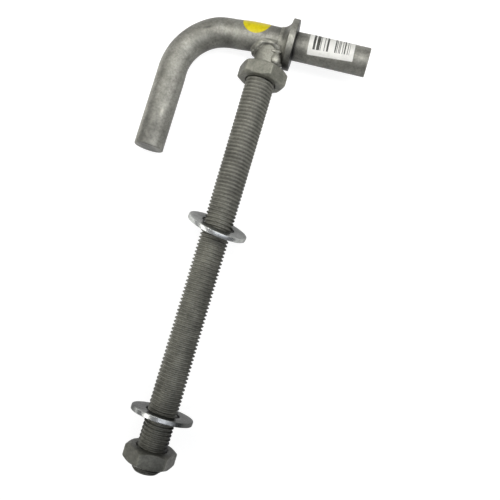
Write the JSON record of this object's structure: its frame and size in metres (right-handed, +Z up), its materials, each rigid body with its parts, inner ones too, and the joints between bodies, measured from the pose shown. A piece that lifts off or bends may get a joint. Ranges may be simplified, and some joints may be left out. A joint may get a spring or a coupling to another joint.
{
  "type": "gate gudgeon bolt",
  "caption": "Threaded rod welded to a bent round bar whose one arm is a collared gate pin and whose other arm is a locking leg; nuts and loose washers on the rod.",
  "frame": {"origin": "middle of the lying bolt's outline on the floor it rests on", "axes": "+Z up from the floor; +Y along the floor below the rod, from its tip towards the welded bar; +X towards the gate pin's free end"},
  "size_m": [0.1384, 0.3142, 0.0442],
  "materials": {
    "galvanised_bar": "hot-dip galvanised, dull grey",
    "galvanised_weld": "zinc-coated weld, lumpy and dull",
    "galvanised_thread": "hot-dip galvanised thread, dull grey",
    "galvanised_nut": "hot-dip galvanised, dull grey",
    "galvanised_washer": "bright zinc, satin"
  },
  "bodies": {
    "bolt": {"bent_bar": "galvanised_bar", "pin_collar": "galvanised_bar", "collar_weld": "galvanised_weld", "threaded_rod": "galvanised_thread", "rod_weld": "galvanised_weld"},
    "front_nut": {"front_nut": "galvanised_nut"},
    "front_washer": {"front_washer": "galvanised_washer"},
    "back_washer": {"back_washer": "galvanised_washer"},
    "back_nut": {"back_nut": "galvanised_nut"}
  },
  "joints": [
    {"name": "front_nut_run", "type": "slide", "parent": "bolt", "child": "front_nut", "axis": [0, -0.9994, 0.0348], "range_m": [0, 0.0465]},
    {"name": "front_washer_slide", "type": "slide", "parent": "bolt", "child": "front_washer", "axis": [0, -0.9994, 0.0348], "range_m": [-0.0465, 0.057]},
    {"name": "back_washer_slide", "type": "slide", "parent": "bolt", "child": "back_washer", "axis": [0, -0.9994, 0.0348], "range_m": [-0.057, 0.0085]},
    {"name": "back_nut_run", "type": "slide", "parent": "bolt", "child": "back_nut", "axis": [0, -0.9994, 0.0348], "range_m": [-0.0085, 0.0053]}
  ]
}
